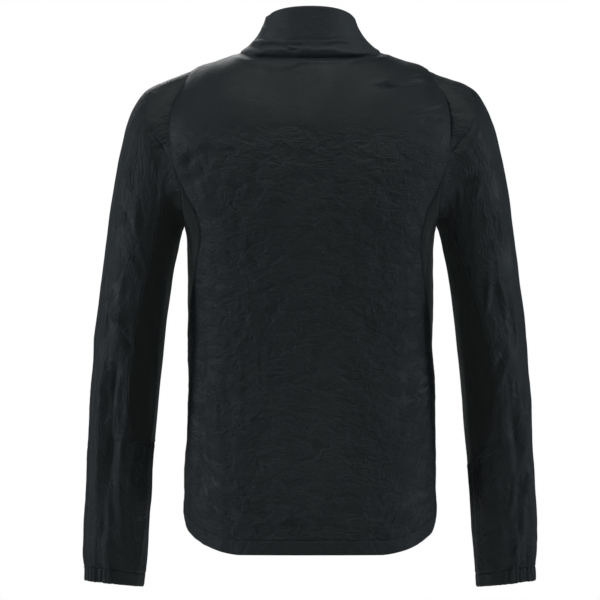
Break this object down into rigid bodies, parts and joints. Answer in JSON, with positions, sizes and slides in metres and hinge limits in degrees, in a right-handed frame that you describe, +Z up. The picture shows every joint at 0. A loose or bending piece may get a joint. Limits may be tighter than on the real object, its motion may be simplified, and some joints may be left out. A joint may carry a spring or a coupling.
{
  "type": "windbreaker jacket, worn form",
  "caption": "Lightweight hip-length jacket with a tall stand collar, closed front zip, stretch side and under-arm panels, long sleeves and a dropped tail, hollow as if worn.",
  "frame": {"origin": "on the wearer's centre plane, midway between the two points where the collar meets the shoulders, where the wearer's shoulders carry it", "axes": "+Z up along the wearer's height, +X to the wearer's left, +Y behind the wearer, so the zip faces -Y"},
  "size_m": [0.6258, 0.238, 0.8029],
  "materials": {
    "nylon": "black crinkled nylon with a soft sheen",
    "stretch": "black smooth stretch knit, matte",
    "doubled_nylon": "black nylon, doubled and stitched",
    "zip_tape": "black woven polyester tape",
    "zip_plastic": "black moulded nylon",
    "zip_enamel": "black enamelled zinc"
  },
  "bodies": {
    "jacket": {"back": "nylon", "front_left": "nylon", "front_right": "nylon", "sleeve_left": "nylon", "sleeve_right": "nylon", "side_left": "stretch", "side_right": "stretch", "under_sleeve_left": "stretch", "under_sleeve_right": "stretch", "collar": "doubled_nylon", "hem_back": "doubled_nylon", "hem_left": "doubled_nylon", "hem_right": "doubled_nylon", "cuff_left": "doubled_nylon", "cuff_right": "doubled_nylon", "zip_tape_left": "zip_tape", "zip_tape_right": "zip_tape", "zip_teeth": "zip_plastic", "zip_bottom_box": "zip_plastic", "zip_stop_left": "zip_plastic", "zip_stop_right": "zip_plastic", "zip_slider": "zip_enamel"},
    "pull_tab": {"zip_pull": "zip_enamel"}
  },
  "joints": [
    {"name": "pull_swing", "type": "hinge", "parent": "jacket", "child": "pull_tab", "pos_m": [0, -0.08846, -0.01751], "axis": [-1, 0, 0], "range_deg": [0, 150]}
  ]
}
